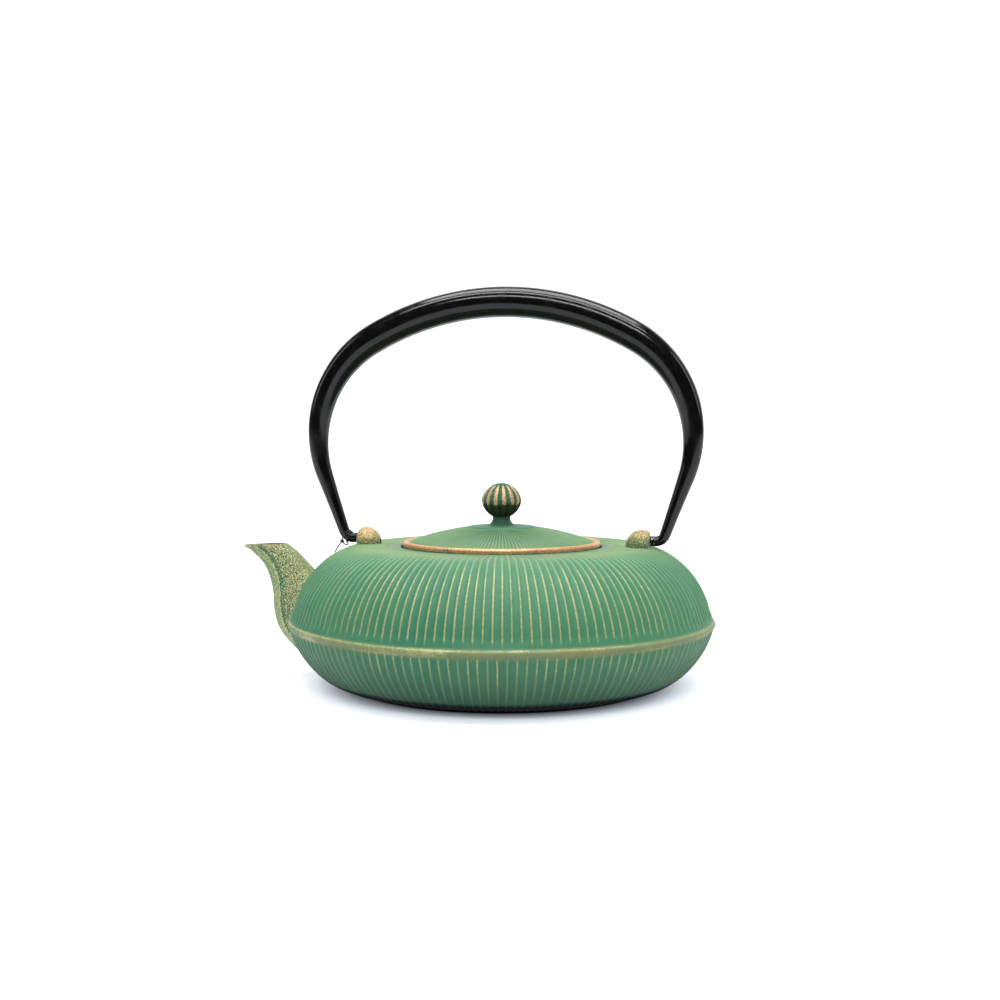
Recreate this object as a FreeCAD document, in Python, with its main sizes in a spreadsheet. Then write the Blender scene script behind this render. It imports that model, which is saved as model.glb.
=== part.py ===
import FreeCAD, Part
import math
import os
import Sketcher

# Cast iron teapot: a round ribbed pot with a spout and two lugs cast on, a domed lid with a riveted
# ball knob, a tea basket hanging in the mouth, and a bail handle rolled from sheet, whose two ends
# are bent in to pins that swing in the lugs.
#
# Frame: millimetres, +Z up, origin on the pot's axis at the surface it stands on, spout towards -X.
# The sheet holds the driving dimensions; outlines and placements are formulas over its cells.

DIMENSIONS = {
    # pot casting, outside, from the foot up
    "foot_radius": 65.0,
    "foot_height": 1.2,
    "pad_radius": 14.0,
    "recess_radius": 61.5,
    "recess_depth": 0.8,
    "belly_radius": 66.0,
    "belly_height": 1.3,
    "belly_bend": 23.8,
    "flank_radius": 80.65,
    "flank_height": 8.64,
    "flank_bend": 36.8,
    "band_bottom_radius": 90.3,
    "band_bottom": 25.7,
    "band_bend": 1.46,
    "band_top_radius": 90.3,
    "band_top": 28.5,
    "wall_radius": 88.6,
    "wall_height": 32.5,
    "shoulder_bend": 36.4,
    "shoulder_radius": 76.4,
    "shoulder_height": 52.25,
    "crown_bend": 34.2,
    "crown_radius": 68.1,
    "crown_height": 57.3,
    "deck_bend": 18.8,
    "deck_radius": 60.7,
    "deck_height": 58.9,
    # pot casting, inside
    "floor_height": 4.4,
    "ceiling_height": 54.6,
    "cavity_centre": 61.5,
    "cavity_bend": 22.8,
    "mouth_radius": 37.6,
    "rebate_radius": 43.2,
    "rebate_height": 56.9,
    # lugs and their bores
    "lug_face": 63.5,
    "lug_length": 10.2,
    "lug_axis_height": 59.6,
    "lug_round": 6.6,
    "pivot_height": 61.5,
    "bore_radius": 2.2,
    "bore_depth": 5.5,
    # lid
    "lid_radius": 42.6,
    "lid_underside": 57.5,
    "bead_side_height": 59.7,
    "bead_bend": 1.4,
    "bead_foot_radius": 39.9,
    "bead_foot_height": 60.3,
    "dome_edge_radius": 39.4,
    "dome_edge_height": 60.7,
    "dome_top_radius": 14.2,
    "dome_top_height": 66.8,
    "disc_radius": 14.0,
    "disc_height": 67.1,
    "neck_foot_radius": 6.3,
    "neck_foot_height": 67.7,
    "neck_bend": 3.4,
    "neck_radius": 3.8,
    "neck_bottom": 70.3,
    "neck_top": 71.4,
    "skirt_outer": 35.7,
    "skirt_inner": 33.4,
    "skirt_bottom": 52.5,
    "hollow_edge_height": 58.9,
    "boss_radius": 8.0,
    "boss_height": 63.4,
    "rivet_bore": 2.1,
    # knob, rivet and washer
    "knob_radius": 8.6,
    "knob_waist_height": 78.6,
    "knob_top": 85.8,
    "knob_seat_radius": 3.7,
    "knob_bore_top": 79.0,
    "rivet_radius": 2.05,
    "rivet_top": 78.7,
    "rivet_head_radius": 4.1,
    "rivet_head_height": 1.7,
    "washer_radius": 6.2,
    "washer_thickness": 0.9,
    # bail: its centreline bends, and the sheet it is rolled from
    "bail_top": 163.1,
    "bail_crown_bend": 112.9,
    "bail_shoulder_bend": 49.4,
    "bail_crown_turn": 30.2,
    "bail_leg_turn": 109.5,
    "bail_leg_height": 80.0,
    "bail_leg_diameter": 6.0,
    "bail_end_height": 68.0,
    "bail_end_diameter": 4.9,
    "bail_sheet": 0.8,
    "bail_seam": 0.6,
    # pins at the bail's ends
    "pin_radius": 2.15,
    "pin_bend": 3.9,
    "pin_end_gap": 0.5,
    # tea basket
    "flange_radius": 41.8,
    "flange_thickness": 0.6,
    "collar_radius": 37.1,
    "collar_wall": 0.5,
    "collar_bottom": 49.5,
    "mesh_radius": 36.5,
    "mesh_wall": 0.6,
    "mesh_bottom": 12.5,
    "mesh_top": 52.0,
    "mesh_floor_gap": 0.05,
    "mesh_floor_thickness": 0.5,
    "basket_band_radius": 36.95,
    "basket_band_wall": 0.35,
    "basket_band_bottom": 11.4,
    "basket_band_top": 17.0,
    "basket_lip_radius": 33.5,
    "basket_lip_thickness": 0.5,
    # tag thread
    "thread_radius": 0.28,
    "thread_coil_gap": 0.05,
    "thread_coil_wall": 0.6,
    "thread_coil_turn": 38.0,
    "thread_knot_radius": 0.9,
}

# The bail's round cross-sections from its top down one side: how far its centreline has turned from
# level, in degrees, and its diameter there.
BAIL_STATIONS = (
    (0.0, 13.1),
    (15.0, 13.0),
    (30.2, 12.7),
    (45.0, 11.9),
    (60.0, 10.9),
    (75.0, 10.0),
    (90.0, 8.7),
    (109.5, 7.1),
)

# Cross-sections of the spout and of the channel inside it, from the pot out to the lip. Each is an oval
# with bulging sides between a narrow flat front and a wider flat back. In order: how far the back is
# from the pot's axis and how high, the same for the front, then the half widths of the front and the
# back, and how far each side bulges.
SPOUT_SECTIONS = {
    "foot": (70.0, 34.0, 91.4, 11.6, 3.0, 7.0, 10.0),
    "base": (76.0, 40.0, 98.7, 19.5, 2.6, 6.4, 8.5),
    "girth": (80.5, 44.0, 101.8, 27.8, 2.2, 5.6, 7.1),
    "throat": (86.0, 49.5, 102.9, 39.5, 1.9, 4.6, 5.6),
    "bill": (91.0, 54.6, 106.8, 49.6, 1.7, 3.9, 4.8),
    "lip": (96.0, 58.4, 116.0, 57.8, 1.2, 3.2, 4.4),
}
CHANNEL_SECTIONS = {
    "inlet": (68.0, 34.0, 78.0, 20.0, 3.0, 4.0, 5.0),
    "mid": (79.6, 39.4, 94.8, 27.0, 2.2, 3.6, 4.6),
    "gullet": (88.4, 48.6, 100.2, 41.6, 1.2, 2.6, 3.9),
    "outflow": (93.4, 53.6, 104.2, 50.4, 1.0, 2.0, 3.5),
    "mouth": (98.0, 59.2, 113.5, 58.9, 0.6, 1.8, 3.6),
}
SECTION_SIZES = ("back", "back_height", "front", "front_height", "front_half", "back_half", "bulge")

# The thread's route past the coil round the bail's elbow: a drooping loop, the knot, then the cut tail.
THREAD_ROUTE = (
    (-68.3, -3.15, 61.3),
    (-67.6, -2.9, 59.6),
    (-67.9, -1.7, 58.4),
    (-69.0, -1.3, 58.3),
    (-69.8, -2.0, 59.2),
    (-70.2, -2.65, 60.3),
    (-71.5, -1.9, 58.7),
    (-72.8, -1.1, 57.0),
    (-74.1, -0.2, 55.1),
)
THREAD_KNOT = (-70.2, -2.65, 60.1)
ARC_SHARE = 0.45
FULL_TURN = 360.0
SIDES = {"spout": -1, "rear": 1}

doc = FreeCAD.newDocument("teapot")


# ---------------------------------------------------------------- sheet and formulas


def driving_dimensions():
    """Every driving dimension by the word that is its alias in the sheet."""
    rows = dict(DIMENSIONS)
    for number, (turn, diameter) in enumerate(BAIL_STATIONS):
        rows[f"bail_turn_{number}"] = turn
        rows[f"bail_diameter_{number}"] = diameter
    for part, sections in (("spout", SPOUT_SECTIONS), ("channel", CHANNEL_SECTIONS)):
        for name, sizes in sections.items():
            rows.update({f"{part}_{name}_{what}": size for what, size in zip(SECTION_SIZES, sizes)})
    return rows


def fill_sheet():
    sheet = doc.addObject("Spreadsheet::Sheet", "Dims")
    for row, (alias, value) in enumerate(driving_dimensions().items(), start=1):
        sheet.set(f"A{row}", alias)
        sheet.set(f"B{row}", str(value))
        sheet.setAlias(f"B{row}", alias)
    doc.recompute()
    return sheet


class Size:
    """A size known both as a number and as the formula over the sheet that gives it."""

    def __init__(self, value, formula=None):
        self.value = float(value)
        self.formula = formula or str(float(value))

    def _joined(self, other, sign, result):
        return Size(result, f"({self.formula} {sign} {as_size(other).formula})")

    def __add__(self, other):
        return self._joined(other, "+", self.value + as_size(other).value)

    def __sub__(self, other):
        return self._joined(other, "-", self.value - as_size(other).value)

    def __mul__(self, other):
        return self._joined(other, "*", self.value * as_size(other).value)

    def __truediv__(self, other):
        return self._joined(other, "/", self.value / as_size(other).value)

    def __neg__(self):
        return self * -1


def as_size(number):
    return number if isinstance(number, Size) else Size(number)


def sine(angle):
    return Size(math.sin(math.radians(angle.value)), f"sin({angle.formula} * 1 deg)")


def cosine(angle):
    return Size(math.cos(math.radians(angle.value)), f"cos({angle.formula} * 1 deg)")


def tangent(angle):
    return Size(math.tan(math.radians(angle.value)), f"tan({angle.formula} * 1 deg)")


def square_root(size):
    return Size(math.sqrt(size.value), f"sqrt({size.formula})")


def slope_angle(rise, run):
    """The slope of a rise over a run, in degrees without a unit."""
    ratio = rise / run
    return Size(math.degrees(math.atan(ratio.value)), f"(atan({ratio.formula}) / 1 deg)")


class Dims:
    """Reads the sheet: dims.foot_radius is that cell's size and formula."""

    def __init__(self, sheet):
        self._sheet = sheet

    def __getattr__(self, alias):
        return Size(self._sheet.get(alias), f"Dims.{alias}")

    def section(self, part, name):
        return [getattr(self, f"{part}_{name}_{what}") for what in SECTION_SIZES]


dims = Dims(fill_sheet())


# ---------------------------------------------------------------- sketches


class Bend:
    """An arc that leaves a corner, bulging to the left or the right of the way to the next corner."""

    def __init__(self, radius, bulge):
        self.radius = as_size(radius)
        self.left = bulge == "left"

    def arc(self, first, last):
        return self._bulging(first, last, self.radius.value)

    def _bulging(self, first, last, radius):
        chord = last - first
        bulge = radius - math.sqrt(radius**2 - chord.Length**2 / 4)
        across = FreeCAD.Vector(-chord.y, chord.x, 0).normalize() * (bulge if self.left else -bulge)
        return Part.Arc(first, (first + last) * 0.5 + across, last)

    def hold(self, sketch, edge):
        bind(sketch, "Radius", (edge,), self.radius)


class CentredBend(Bend):
    """A Bend whose centre lies on the sketch's vertical axis, so that it turns into a sphere."""

    def __init__(self, bulge):
        self.left = bulge == "left"

    def arc(self, first, last):
        centre = (last.x**2 - first.x**2 + last.y**2 - first.y**2) / (2 * (last.y - first.y))
        return self._bulging(first, last, math.hypot(first.x, first.y - centre))

    def hold(self, sketch, edge):
        sketch.addConstraint(Sketcher.Constraint("PointOnObject", edge, 3, -2))


def new_body(name):
    body = doc.addObject("PartDesign::Body", name)
    body.Label = name
    return body


def new_sketch(body, name, plane="XZ_Plane", height=None):
    """An empty sketch on one of the body's origin planes, its own origin raised to a height."""
    sketch = body.newObject("Sketcher::SketchObject", name)
    support = next(f for f in body.Origin.OriginFeatures if f.Role == plane)
    sketch.AttachmentSupport = [(support, "")]
    sketch.MapMode = "FlatFace"
    if height is not None:
        sketch.setExpression(".AttachmentOffset.Base.y", height.formula)
        doc.recompute()
    return sketch


def cross_sketch(body, name, x, z, tilt):
    """An empty sketch across the XZ plane at (x, z), turned about Y by a tilt in degrees."""
    sketch = new_sketch(body, name, "XY_Plane")
    turned = FreeCAD.Rotation(FreeCAD.Vector(0, 1, 0), tilt.value)
    sketch.AttachmentOffset = FreeCAD.Placement(FreeCAD.Vector(x.value, 0, z.value), turned)
    sketch.setExpression(".AttachmentOffset.Base.x", x.formula)
    sketch.setExpression(".AttachmentOffset.Base.z", z.formula)
    return sketch


def bind(sketch, kind, where, size):
    """Adds a constraint whose value follows its formula over the sheet."""
    index = sketch.addConstraint(Sketcher.Constraint(kind, *where, size.value))
    sketch.setExpression(f"Constraints[{index}]", size.formula)


def pin_point(sketch, edge, end, u, v):
    """Holds one end of an edge at (u, v)."""
    for kind, size, axis in (("DistanceX", as_size(u), -2), ("DistanceY", as_size(v), -1)):
        if size.value == 0:
            sketch.addConstraint(Sketcher.Constraint("PointOnObject", edge, end, axis))
        elif size.value > 0:
            bind(sketch, kind, (-1, 1, edge, end), size)
        else:
            bind(sketch, kind, (edge, end, -1, 1), -size)


def draw(sketch, path, closed=True):
    """Draws an outline of corners (u, v), or (u, v, Bend) where an arc leaves the corner."""
    points = [FreeCAD.Vector(as_size(corner[0]).value, as_size(corner[1]).value) for corner in path]
    edges = len(path) if closed else len(path) - 1
    ends = []
    for edge in range(edges):
        first, last = points[edge], points[(edge + 1) % len(points)]
        clockwise = False
        if len(path[edge]) == 3:
            bend = path[edge][2]
            sketch.addGeometry(bend.arc(first, last), False)
            clockwise = bend.left
        else:
            sketch.addGeometry(Part.LineSegment(first, last), False)
        ends.append((2, 1) if clockwise else (1, 2))
    for edge, (start, end) in enumerate(ends):
        following = (edge + 1) % len(points)
        if following < edges:
            first_end = ends[following][0]
            sketch.addConstraint(Sketcher.Constraint("Coincident", edge, end, following, first_end))
        pin_point(sketch, edge, start, *path[edge][:2])
        if len(path[edge]) == 3:
            path[edge][2].hold(sketch, edge)
    if not closed:
        pin_point(sketch, edges - 1, ends[-1][1], *path[-1][:2])
    return sketch


def mirrored(path):
    """The same outline on the other side of the sketch's vertical axis."""
    return [
        (-as_size(corner[0]), corner[1])
        + tuple(Bend(bend.radius, "right" if bend.left else "left") for bend in corner[2:])
        for corner in path
    ]


def circle(sketch, radius, centre_u=0.0):
    edge = sketch.addGeometry(Part.Circle(FreeCAD.Vector(as_size(centre_u).value, 0, 0),
                                          FreeCAD.Vector(0, 0, 1), radius.value), False)
    pin_point(sketch, edge, 3, centre_u, 0)
    bind(sketch, "Radius", (edge,), radius)
    return sketch


# ---------------------------------------------------------------- features


def turn_solid(body, name, sketch, axis="V_Axis", turn=None, kind="Revolution"):
    """Turns a sketch about one of its own axes: a Revolution adds, a Groove cuts."""
    feature = body.newObject(f"PartDesign::{kind}", name)
    feature.Profile = sketch
    feature.ReferenceAxis = (sketch, [axis])
    feature.Angle = FULL_TURN
    if turn is not None:
        feature.setExpression("Angle", f"{turn.formula} * 1 deg")
    return finished(body, feature, kind == "Groove")


def loft(body, name, sections, kind="Additive"):
    feature = body.newObject(f"PartDesign::{kind}Loft", name)
    feature.Profile = sections[0]
    feature.Sections = sections[1:]
    return finished(body, feature, kind == "Subtractive")


def finished(body, feature, cuts):
    """Recomputes a feature and, where it cuts, checks that it took metal away."""
    doc.recompute()
    if feature.Shape.isNull() or {"Invalid", "Error"} & set(feature.State):
        raise RuntimeError(f"{feature.Name} has no shape")
    if cuts and feature.Shape.Volume >= feature.BaseFeature.Shape.Volume - 1e-3:
        raise RuntimeError(f"{feature.Name} cuts nothing")
    body.Tip = feature
    return feature


def turned_body(name, path):
    """A body that is one outline turned about the pot's axis."""
    body = new_body(name)
    turn_solid(body, f"{name}_turned", draw(new_sketch(body, f"{name}_profile"), path))
    return body


def tube_path(inner, outer, bottom, top):
    return [(inner, bottom), (outer, bottom), (outer, top), (inner, top)]


# ---------------------------------------------------------------- pot casting


def pot_outside():
    d = dims
    return [
        (0, 0),
        (d.pad_radius, 0),
        (d.pad_radius, d.recess_depth),
        (d.recess_radius, d.recess_depth),
        (d.recess_radius, 0),
        (d.foot_radius, 0),
        (d.foot_radius, d.foot_height),
        (d.belly_radius, d.belly_height, Bend(d.belly_bend, "right")),
        (d.flank_radius, d.flank_height, Bend(d.flank_bend, "right")),
        (d.band_bottom_radius, d.band_bottom, Bend(d.band_bend, "right")),
        (d.band_top_radius, d.band_top),
        (d.wall_radius, d.wall_height, Bend(d.shoulder_bend, "right")),
        (d.shoulder_radius, d.shoulder_height, Bend(d.crown_bend, "right")),
        (d.crown_radius, d.crown_height, Bend(d.deck_bend, "right")),
        (d.deck_radius, d.deck_height),
        (0, d.deck_height),
    ]


def pot_inside():
    """The cavity, the mouth, and the rebate that the basket's flange and the lid lie in."""
    d = dims
    side = d.cavity_centre + d.cavity_bend
    above_deck = d.deck_height + 1
    return [
        (0, d.floor_height),
        (d.cavity_centre, d.floor_height, Bend(d.cavity_bend, "right")),
        (side, d.floor_height + d.cavity_bend),
        (side, d.ceiling_height - d.cavity_bend, Bend(d.cavity_bend, "right")),
        (d.cavity_centre, d.ceiling_height),
        (d.mouth_radius, d.ceiling_height),
        (d.mouth_radius, d.rebate_height),
        (d.rebate_radius, d.rebate_height),
        (d.rebate_radius, above_deck),
        (0, above_deck),
    ]


def spout_section(body, part, name):
    """One cross-section of the spout or its channel, square to the flow."""
    back, back_height, front, front_height, front_half, back_half, bulge = dims.section(part, name)
    run, rise = front - back, back_height - front_height
    depth = square_root(run * run + rise * rise)
    tilt = slope_angle(rise, run)
    middle_x, middle_z = -(front + back) / 2, (front_height + back_height) / 2
    sketch = cross_sketch(body, f"{part}_{name}", middle_x, middle_z, -tilt)
    taper = back_half - front_half
    chord = square_root(depth * depth + taper * taper)
    side_bend = (chord * chord / 4 + bulge * bulge) / (bulge * 2)
    return draw(sketch, [
        (-depth / 2, -front_half, Bend(side_bend, "right")),
        (depth / 2, -back_half),
        (depth / 2, back_half, Bend(side_bend, "right")),
        (-depth / 2, front_half),
    ])


def cast_lug(body, name, side):
    """A bullet shape lying on the deck with its flat face outwards."""
    d = dims
    dome = [
        (d.lug_face, 0),
        (d.lug_face, d.lug_round),
        (d.lug_face - d.lug_length + d.lug_round, d.lug_round, Bend(d.lug_round, "right")),
        (d.lug_face - d.lug_length, 0),
    ]
    sketch = new_sketch(body, f"lug_{name}_profile", height=d.lug_axis_height)
    turn_solid(body, f"lug_{name}", draw(sketch, dome if side > 0 else mirrored(dome)), "H_Axis")


def bore_lug(body, name, side):
    """The blind hole that takes the bail's hook."""
    d = dims
    hole = [
        (d.lug_face - d.bore_depth, 0),
        (d.lug_face + 1, 0),
        (d.lug_face + 1, d.bore_radius),
        (d.lug_face - d.bore_depth, d.bore_radius),
    ]
    sketch = new_sketch(body, f"bore_{name}_profile", height=d.pivot_height)
    path = hole if side > 0 else mirrored(hole)
    turn_solid(body, f"bore_{name}", draw(sketch, path), "H_Axis", kind="Groove")


def pot_casting():
    body = turned_body("pot_casting", pot_outside())
    loft(body, "spout", [spout_section(body, "spout", name) for name in SPOUT_SECTIONS])
    for name, side in SIDES.items():
        cast_lug(body, name, side)
    inside = draw(new_sketch(body, "cavity_profile"), pot_inside())
    turn_solid(body, "cavity", inside, kind="Groove")
    channel = [spout_section(body, "channel", name) for name in CHANNEL_SECTIONS]
    loft(body, "spout_channel", channel, "Subtractive")
    for name, side in SIDES.items():
        bore_lug(body, name, side)
    return body


# ---------------------------------------------------------------- lid


def lid_casting():
    d = dims
    return turned_body("lid_casting", [
        (d.rivet_bore, d.boss_height),
        (d.boss_radius, d.boss_height, CentredBend("left")),
        (d.skirt_inner, d.hollow_edge_height),
        (d.skirt_inner, d.skirt_bottom),
        (d.skirt_outer, d.skirt_bottom),
        (d.skirt_outer, d.lid_underside),
        (d.lid_radius, d.lid_underside),
        (d.lid_radius, d.bead_side_height, Bend(d.bead_bend, "right")),
        (d.bead_foot_radius, d.bead_foot_height),
        (d.dome_edge_radius, d.dome_edge_height, CentredBend("right")),
        (d.dome_top_radius, d.dome_top_height),
        (d.disc_radius, d.disc_height),
        (d.neck_foot_radius, d.neck_foot_height, Bend(d.neck_bend, "left")),
        (d.neck_radius, d.neck_bottom),
        (d.neck_radius, d.neck_top),
        (d.rivet_bore, d.neck_top),
    ])


def lid_knob():
    """A slightly flattened ball with a blind bore for the rivet."""
    d = dims
    return turned_body("lid_knob", [
        (d.rivet_bore, d.neck_top),
        (d.knob_seat_radius, d.neck_top, CentredBend("right")),
        (d.knob_radius, d.knob_waist_height, CentredBend("right")),
        (0, d.knob_top),
        (0, d.knob_bore_top),
        (d.rivet_bore, d.knob_bore_top),
    ])


def knob_washer():
    d = dims
    bottom = d.boss_height - d.washer_thickness
    return turned_body("knob_washer", tube_path(d.rivet_bore, d.washer_radius, bottom, d.boss_height))


def knob_rivet():
    """A shank through washer and lid into the knob, with a domed head under the washer."""
    d = dims
    seat = d.boss_height - d.washer_thickness
    return turned_body("knob_rivet", [
        (0, seat - d.rivet_head_height, CentredBend("right")),
        (d.rivet_head_radius, seat),
        (d.rivet_radius, seat),
        (d.rivet_radius, d.rivet_top),
        (0, d.rivet_top),
    ])


# ---------------------------------------------------------------- bail


def shoulder_centre():
    """The centre of the bail's shoulder bend on the +X side."""
    d = dims
    reach = d.bail_crown_bend - d.bail_shoulder_bend
    crown_z = d.bail_top - d.bail_crown_bend
    return reach * sine(d.bail_crown_turn), crown_z + reach * cosine(d.bail_crown_turn)


def bail_point(turn):
    """Where the bail's centreline has turned by so many degrees from level."""
    d = dims
    if turn.value <= d.bail_crown_turn.value:
        centre_x, centre_z = Size(0), d.bail_top - d.bail_crown_bend
        bend = d.bail_crown_bend
    else:
        centre_x, centre_z = shoulder_centre()
        bend = d.bail_shoulder_bend
    return centre_x + bend * sine(turn), centre_z + bend * cosine(turn)


def leg_x(height):
    """How far out the straight leg is at a height."""
    top_x, top_z = bail_point(dims.bail_leg_turn)
    return top_x - (top_z - height) * tangent(dims.bail_leg_turn - 90)


def bail_sections(body, name, inset):
    """Circles across the bail's centreline from the spout side round to the rear."""
    d = dims
    stations = [
        (*bail_point(getattr(d, f"bail_turn_{number}")), getattr(d, f"bail_turn_{number}"),
         getattr(d, f"bail_diameter_{number}"))
        for number in range(len(BAIL_STATIONS))
    ]
    leg = ((d.bail_leg_height, d.bail_leg_diameter), (d.bail_end_height, d.bail_end_diameter))
    stations += [(leg_x(height), height, d.bail_leg_turn, diameter) for height, diameter in leg]
    sections = []
    for side in (-1, 1):
        ordered = stations[::-1] if side < 0 else stations[1:]
        for x, z, turn, diameter in ordered:
            label = f"{name}_{len(sections)}"
            sketch = cross_sketch(body, label, x * side, z, turn * side + 90)
            sections.append(circle(sketch, diameter / 2 - inset))
    return sections


def pin_path():
    """The centreline of one end on the +X side: the pin in its lug, the elbow, and the foot of the leg."""
    d = dims
    lean = d.bail_leg_turn - 90
    tangent_length = d.pin_bend * tangent((Size(90) - lean) / 2)
    elbow_top = d.pivot_height + tangent_length * cosine(lean)
    return [
        (d.lug_face - d.bore_depth + d.pin_end_gap, d.pivot_height),
        (leg_x(d.pivot_height) - tangent_length, d.pivot_height, Bend(d.pin_bend, "right")),
        (leg_x(elbow_top), elbow_top),
        (leg_x(d.bail_end_height), d.bail_end_height),
    ]


def bail_pin(body, name, side):
    """Bends one end of the bail in to its pin."""
    path = pin_path() if side > 0 else mirrored(pin_path())
    spine = draw(new_sketch(body, f"pin_{name}_spine"), path, closed=False)
    section = cross_sketch(body, f"pin_{name}_section", *path[0][:2], Size(90))
    pin = body.newObject("PartDesign::AdditivePipe", f"pin_{name}")
    pin.Profile = circle(section, dims.pin_radius)
    pin.Spine = (spine, ["Edge1", "Edge2", "Edge3"])
    finished(body, pin, False)


def half_bail_path():
    """The whole centreline on the +X side, from the pin's end up to the middle of the crown."""
    leg_top, crown_end = bail_point(dims.bail_leg_turn), bail_point(dims.bail_crown_turn)
    return pin_path()[:-1] + [(*leg_top, Bend(dims.bail_shoulder_bend, "right")), crown_end]


def bail_seam_path():
    """The outline that the centreline closes, whose edge the seam follows."""
    right = half_bail_path()
    crown = (*right[-1], Bend(dims.bail_crown_bend, "right"))
    left, bends = [], [corner[2:] for corner in right[:-1]]
    for corner, bend in zip(right[:0:-1], bends[::-1]):
        left.append((-corner[0], corner[1], *bend))
    return right[:-1] + [crown] + left + [(-right[0][0], right[0][1])]


def bail_tube():
    """Sheet rolled to a tapering tube and bent, its open seam all along the inner side."""
    body = new_body("bail_tube")
    loft(body, "bail_skin", bail_sections(body, "bail_outer", Size(0)))
    loft(body, "bail_hollow", bail_sections(body, "bail_inner", dims.bail_sheet), "Subtractive")
    for name, side in SIDES.items():
        bail_pin(body, name, side)
    seam = body.newObject("PartDesign::Pocket", "bail_seam")
    seam.Profile = draw(new_sketch(body, "bail_seam_outline"), bail_seam_path())
    seam.Midplane = True
    seam.setExpression("Length", dims.bail_seam.formula)
    finished(body, seam, True)
    return body


# ---------------------------------------------------------------- tea basket


def basket_rim():
    """A flange that lies in the pot's rebate, and the collar below it."""
    d = dims
    inner = d.collar_radius - d.collar_wall
    top = d.rebate_height + d.flange_thickness
    return turned_body("basket_rim", [
        (inner, d.collar_bottom),
        (d.collar_radius, d.collar_bottom),
        (d.collar_radius, d.rebate_height),
        (d.flange_radius, d.rebate_height),
        (d.flange_radius, top),
        (inner, top),
    ])


def basket_mesh_wall():
    d = dims
    inner = d.mesh_radius - d.mesh_wall
    return turned_body("basket_mesh_wall", tube_path(inner, d.mesh_radius, d.mesh_bottom, d.mesh_top))


def basket_mesh_floor():
    d = dims
    top = d.mesh_bottom - d.mesh_floor_gap
    bottom = top - d.mesh_floor_thickness
    return turned_body("basket_mesh_floor", tube_path(0, d.mesh_radius, bottom, top))


def basket_bottom_band():
    """A strip crimped round the foot of the mesh and turned in under its floor."""
    d = dims
    inner = d.basket_band_radius - d.basket_band_wall
    lip_top = d.basket_band_bottom + d.basket_lip_thickness
    return turned_body("basket_bottom_band", [
        (d.basket_lip_radius, d.basket_band_bottom),
        (d.basket_band_radius, d.basket_band_bottom),
        (d.basket_band_radius, d.basket_band_top),
        (inner, d.basket_band_top),
        (inner, lip_top),
        (d.basket_lip_radius, lip_top),
    ])


# ---------------------------------------------------------------- tag thread


def tag_thread_coil():
    """The space that the thread's turns fill round the bail's elbow on the spout's side."""
    d = dims
    lean = d.bail_leg_turn - 90
    elbow_turn = Size(90) - lean
    bend_x = -(leg_x(d.pivot_height) - d.pin_bend * tangent(elbow_turn / 2))
    bend_z = d.pivot_height + d.pin_bend
    body = new_body("tag_thread_coil")
    start = Size(90) - elbow_turn / 2 + d.thread_coil_turn / 2
    sketch = cross_sketch(body, "coil_section", bend_x, bend_z, -start)
    inner = d.pin_radius + d.thread_coil_gap
    circle(sketch, inner, -d.pin_bend)
    circle(sketch, inner + d.thread_coil_wall, -d.pin_bend)
    turn_solid(body, "coil_ring", sketch, turn=d.thread_coil_turn)
    return body


def tangent_wire(points):
    """Straight runs joined by tangent arcs, each as large as its two runs allow."""
    edges, here, radii = [], points[0], []
    for before, corner, after in zip(points, points[1:], points[2:]):
        inward, outward = before - corner, after - corner
        reach = ARC_SHARE * min(inward.Length, outward.Length)
        half_turn = (math.pi - inward.getAngle(outward)) / 2
        radius = reach / math.tan(half_turn)
        inward.normalize()
        outward.normalize()
        middle_way = (inward + outward).normalize()
        middle = corner + middle_way * (radius / math.cos(half_turn) - radius)
        first, last = corner + inward * reach, corner + outward * reach
        edges += [Part.LineSegment(here, first).toShape(), Part.Arc(first, middle, last).toShape()]
        here = last
        radii.append(round(radius, 2))
    edges.append(Part.LineSegment(here, points[-1]).toShape())
    return Part.Wire(edges), radii


def tag_thread():
    points = [FreeCAD.Vector(*point) for point in THREAD_ROUTE]
    path, radii = tangent_wire(points)
    radius = dims.thread_radius.value
    end = Part.Wire(Part.Circle(points[0], points[1] - points[0], radius).toShape())
    tube = path.makePipeShell([end], True, False)
    filled = tube.Volume / (math.pi * radius**2 * path.Length)
    print("thread arcs", radii, "length", round(path.Length, 2), "volume ratio", round(filled, 4))
    thread = doc.addObject("Part::Feature", "tag_thread")
    thread.Shape = tube
    thread.Placement = FreeCAD.Placement()
    return thread


def tag_thread_knot():
    knot = doc.addObject("Part::Sphere", "tag_thread_knot")
    knot.setExpression("Radius", dims.thread_knot_radius.formula)
    knot.Placement = FreeCAD.Placement(FreeCAD.Vector(*THREAD_KNOT), FreeCAD.Rotation())
    return knot


# ---------------------------------------------------------------- build, check and write


def check(parts):
    """Stops if any object failed to compute or any part isn't one or more valid solids."""
    for thing in doc.Objects:
        if {"Invalid", "Error"} & set(thing.State):
            raise RuntimeError(f"{thing.Name} is {thing.State}")
    for part in parts:
        shape = part.Shape
        if shape.isNull() or not shape.isValid() or not shape.Solids:
            raise RuntimeError(f"{part.Label} has no valid solid")
        print(part.Label, "solids", len(shape.Solids), "volume_mm3", round(shape.Volume, 1))


def main():
    parts = [
        pot_casting(),
        lid_casting(),
        lid_knob(),
        knob_rivet(),
        knob_washer(),
        basket_rim(),
        basket_mesh_wall(),
        basket_mesh_floor(),
        basket_bottom_band(),
        bail_tube(),
        tag_thread_coil(),
        tag_thread_knot(),
        tag_thread(),
    ]
    doc.recompute()
    check(parts)
    os.makedirs("parts", exist_ok=True)
    for part in parts:
        part.Shape.exportStep(f"parts/{part.Label}.step")


main()
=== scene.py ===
import math
import random

import bmesh
import bpy
import numpy as np
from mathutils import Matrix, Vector, noise


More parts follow.
